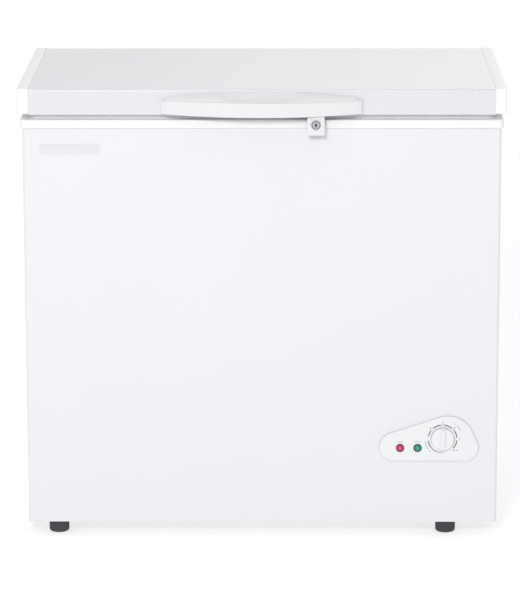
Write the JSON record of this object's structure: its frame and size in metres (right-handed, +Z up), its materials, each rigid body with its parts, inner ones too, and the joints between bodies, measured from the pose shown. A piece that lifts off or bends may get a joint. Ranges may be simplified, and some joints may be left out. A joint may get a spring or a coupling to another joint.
{
  "type": "chest freezer",
  "caption": "Small white chest freezer: insulated steel cabinet on rubber feet, hinged lid with a bow handle and a lock, front dial panel, compressor bay and a sliding wire basket.",
  "frame": {"origin": "on the floor, under the centre of the outline seen from above, handle and hinges included", "axes": "+X to the right as seen by someone at the front, -Y towards that person, +Z up"},
  "size_m": [0.905, 0.56, 0.86],
  "materials": {
    "white_coated_steel": "smooth white coil coating",
    "liner_sheet": "pale grey-white stucco-embossed sheet",
    "insulation_foam": "cream rigid polyurethane foam",
    "white_plastic": "satin white moulding",
    "handle_plastic": "satin white moulding",
    "control_plastic": "satin white moulding",
    "badge_plastic": "satin pale grey plate, blank",
    "red_lens": "clear red lens",
    "green_lens": "clear green lens",
    "galvanised_steel": "galvanised",
    "zinc_plated_steel": "zinc plated",
    "hinge_steel": "white powder coat",
    "chromed_lock": "satin chrome",
    "black_enamel": "black baked enamel",
    "black_plastic": "black moulding",
    "copper_tube": "drawn copper",
    "aluminium_tube": "drawn aluminium",
    "dark_rubber": "matt dark grey",
    "grey_rubber": "soft pale grey",
    "coated_wire": "white plastic-coated steel wire"
  },
  "bodies": {
    "cabinet": {"cabinet_wrapper": "white_coated_steel", "rear_panel": "white_coated_steel", "rear_vent_cover": "white_coated_steel", "inner_liner": "liner_sheet", "insulation_foam": "insulation_foam", "top_collar": "white_plastic", "side_grille": "white_plastic", "drain_tube": "white_plastic", "control_bezel": "control_plastic", "indicator_lamps": "control_plastic", "badge_plate": "badge_plastic", "power_lens": "red_lens", "run_lens": "green_lens", "bottom_panel": "galvanised_steel", "bay_cover": "galvanised_steel", "compressor_tray": "galvanised_steel", "thermostat_body": "galvanised_steel", "lock_keeper": "galvanised_steel", "compressor_bolts": "zinc_plated_steel", "cover_screws": "zinc_plated_steel", "foot_screws": "zinc_plated_steel", "hinge_bracket_screws": "zinc_plated_steel", "hinge_pins": "zinc_plated_steel", "hinge_springs": "zinc_plated_steel", "hinge_bracket_left": "hinge_steel", "hinge_bracket_right": "hinge_steel", "compressor_can": "black_enamel", "compressor_mount_plate": "black_enamel", "start_relay_box": "black_plastic", "cord_gland": "black_plastic", "condenser_tube": "copper_tube", "suction_line": "copper_tube", "discharge_line": "copper_tube", "filter_drier": "copper_tube", "evaporator_tube": "aluminium_tube", "foot_front_left": "dark_rubber", "foot_front_right": "dark_rubber", "foot_rear_left": "dark_rubber", "foot_rear_right": "dark_rubber", "compressor_grommets": "dark_rubber"},
    "lid": {"lid_top_panel": "white_coated_steel", "lid_end_cap_left": "white_plastic", "lid_end_cap_right": "white_plastic", "lid_foam": "insulation_foam", "lid_inner_liner": "liner_sheet", "lid_gasket": "grey_rubber", "handle_grip": "handle_plastic", "handle_end_caps": "handle_plastic", "hinge_leaf_left": "hinge_steel", "hinge_leaf_right": "hinge_steel", "hinge_leaf_screws": "zinc_plated_steel", "lock_housing": "handle_plastic"},
    "lock": {"lock_barrel": "chromed_lock", "lock_cam": "galvanised_steel"},
    "dial": {"thermostat_knob": "control_plastic", "thermostat_shaft": "control_plastic"},
    "basket": {"basket_frame": "coated_wire", "basket_mesh": "coated_wire"},
    "drain_plug": {"drain_plug": "grey_rubber"},
    "drain_cap": {"drain_cap": "white_plastic"}
  },
  "joints": [
    {"name": "lid_hinge", "type": "hinge", "parent": "cabinet", "child": "lid", "pos_m": [0, 0.272, 0.8095], "axis": [-1, 0, 0], "range_deg": [0, 80], "deforming": ["hinge_springs"]},
    {"name": "lock_turn", "type": "hinge", "parent": "lid", "child": "lock", "pos_m": [0.1, -0.265, 0.7955], "axis": [0, -1, 0], "range_deg": [0, 90]},
    {"name": "dial_turn", "type": "hinge", "parent": "cabinet", "child": "dial", "pos_m": [0.3403, -0.2365, 0.1906], "axis": [0, -1, 0], "range_deg": [-135, 135]},
    {"name": "basket_slide", "type": "slide", "parent": "cabinet", "child": "basket", "axis": [-1, 0, 0], "range_m": [0, 0.48]},
    {"name": "drain_plug_pull", "type": "slide", "parent": "cabinet", "child": "drain_plug", "axis": [0, 0, 1], "range_m": [0, 0.03]},
    {"name": "drain_cap_pull", "type": "slide", "parent": "cabinet", "child": "drain_cap", "axis": [-1, 0, 0], "range_m": [0, 0.03]}
  ]
}
